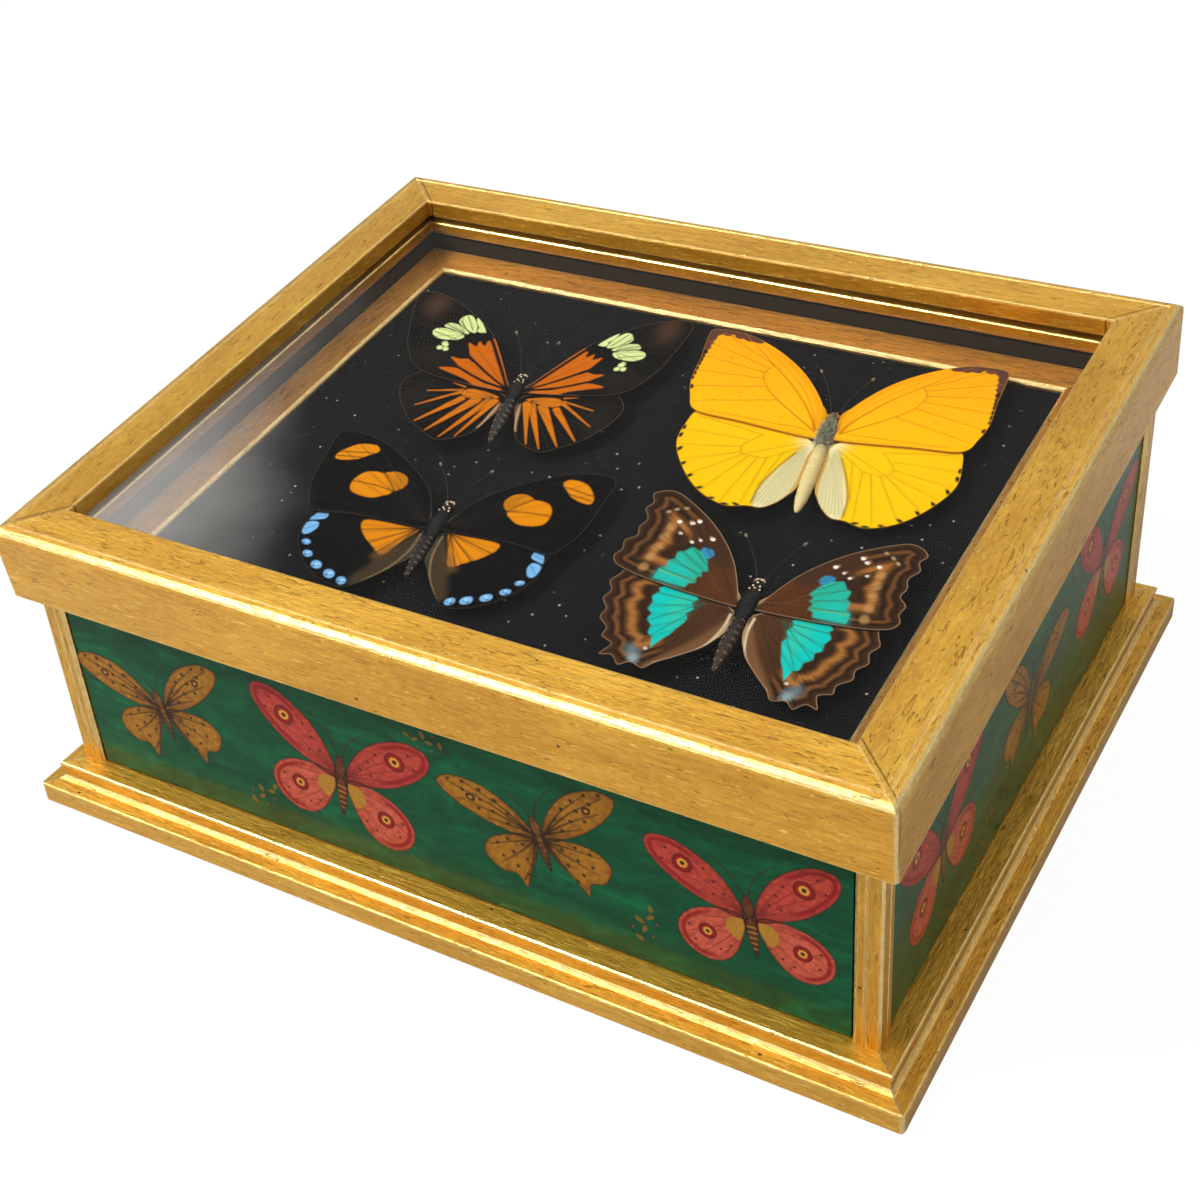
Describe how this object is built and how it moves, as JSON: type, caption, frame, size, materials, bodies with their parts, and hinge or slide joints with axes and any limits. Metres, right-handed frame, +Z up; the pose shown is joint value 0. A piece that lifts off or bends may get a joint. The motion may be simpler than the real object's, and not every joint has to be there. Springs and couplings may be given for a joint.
{
  "type": "butterfly display case",
  "caption": "Gilded tabletop case with lacquered green panels, a stepped base and a sloping hinged glass lid over butterflies mounted on black velvet.",
  "frame": {"origin": "middle of the underside of the base", "axes": "+X to the right along the case, +Y to the hinged back, +Z up"},
  "size_m": [0.2252, 0.1872, 0.0946],
  "materials": {
    "gilded_wood": "satin gilt over open-grained wood",
    "gilded_base": "satin gilt, darkened in the hollows",
    "green_lacquer": "gloss lacquer with painted insects",
    "lining": "matt dark grey lining",
    "board": "plain",
    "foam": "fine-celled foam",
    "velvet": "black pile",
    "slip": "satin tan gilt",
    "glass": "clear, polished",
    "brass": "satin",
    "steel": "bright",
    "insect_body": "glossy black with short hair",
    "wings_back_left": "scaled, brown with orange and pale green",
    "wings_back_right": "scaled, yellow with an orange flush",
    "wings_front_left": "scaled, black with orange and light blue",
    "wings_front_right": "scaled, brown with a turquoise band"
  },
  "bodies": {
    "case": {"base_front": "gilded_base", "base_back": "gilded_base", "base_left": "gilded_base", "base_right": "gilded_base", "bottom_board": "board", "post_front_left": "gilded_wood", "post_front_right": "gilded_wood", "post_back_left": "gilded_wood", "post_back_right": "gilded_wood", "panel_front": "green_lacquer", "panel_back": "green_lacquer", "panel_left": "green_lacquer", "panel_right": "green_lacquer", "hinge_rail": "gilded_wood", "liner_front": "lining", "liner_back": "lining", "liner_left": "lining", "liner_right": "lining", "ledgers": "board", "tray_board": "board", "pinning_foam": "foam", "velvet": "velvet", "slip_front": "slip", "slip_back": "slip", "slip_left": "slip", "slip_right": "slip", "hinge_left_lower": "brass", "hinge_left_pin": "brass", "hinge_right_lower": "brass", "hinge_right_pin": "brass", "case_screws": "brass", "back_left_body": "insect_body", "back_left_forewings": "wings_back_left", "back_left_hindwings": "wings_back_left", "back_left_antennae": "insect_body", "back_right_body": "insect_body", "back_right_forewings": "wings_back_right", "back_right_hindwings": "wings_back_right", "back_right_antennae": "insect_body", "front_left_body": "insect_body", "front_left_forewings": "wings_front_left", "front_left_hindwings": "wings_front_left", "front_left_antennae": "insect_body", "front_right_body": "insect_body", "front_right_forewings": "wings_front_right", "front_right_hindwings": "wings_front_right", "front_right_antennae": "insect_body", "mounting_pins": "steel"},
    "lid": {"lid_front": "gilded_wood", "lid_back": "gilded_wood", "lid_left": "gilded_wood", "lid_right": "gilded_wood", "glass": "glass", "stop_front": "gilded_wood", "stop_back": "gilded_wood", "stop_left": "gilded_wood", "stop_right": "gilded_wood", "hinge_left_upper": "brass", "hinge_right_upper": "brass", "lid_screws": "brass"}
  },
  "joints": [
    {"name": "lid_hinge", "type": "hinge", "parent": "case", "child": "lid", "pos_m": [0, 0.087, 0.07587], "axis": [-1, 0, 0], "range_deg": [0, 100]}
  ]
}
